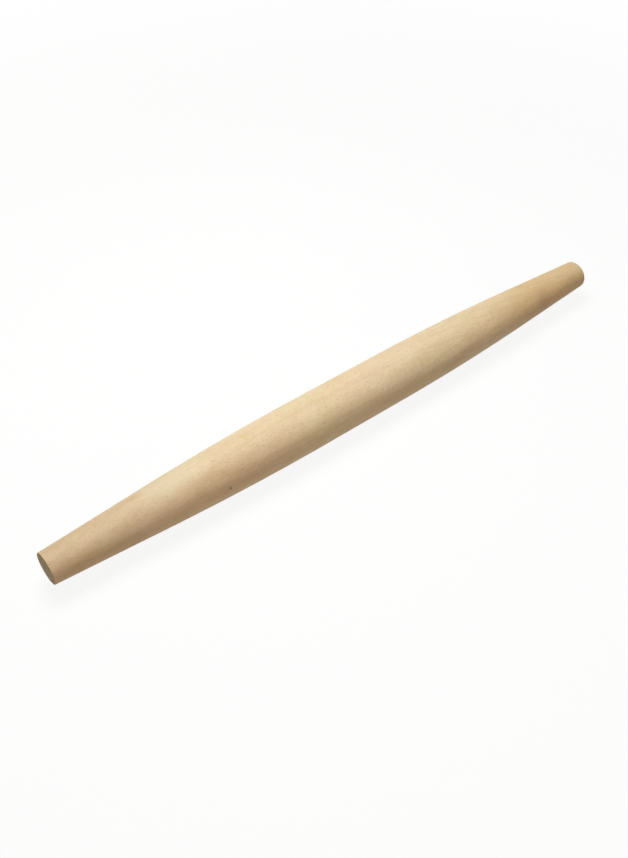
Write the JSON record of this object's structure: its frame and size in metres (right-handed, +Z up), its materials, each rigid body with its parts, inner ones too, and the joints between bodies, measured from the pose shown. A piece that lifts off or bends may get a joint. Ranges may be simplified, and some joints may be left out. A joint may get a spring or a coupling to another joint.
{
  "type": "pizza rolling pin",
  "caption": "Tapered wooden rolling pin, full in the middle and slimmer towards its flat ends, turned from solid beech for rolling out pizza dough under the palms.",
  "frame": {"origin": "on the surface that the pin lies on, straight below the middle of its axis", "axes": "+X along the pin's axis of turning, +Y level and square to it, +Z up from the surface it lies on"},
  "size_m": [0.5, 0.0402, 0.04],
  "materials": {
    "beech": "plain unvarnished beech, sanded smooth on the lathe, satin and faintly flecked along the grain"
  },
  "bodies": {
    "root": {"tapered_pin": "beech"}
  },
  "joints": []
}
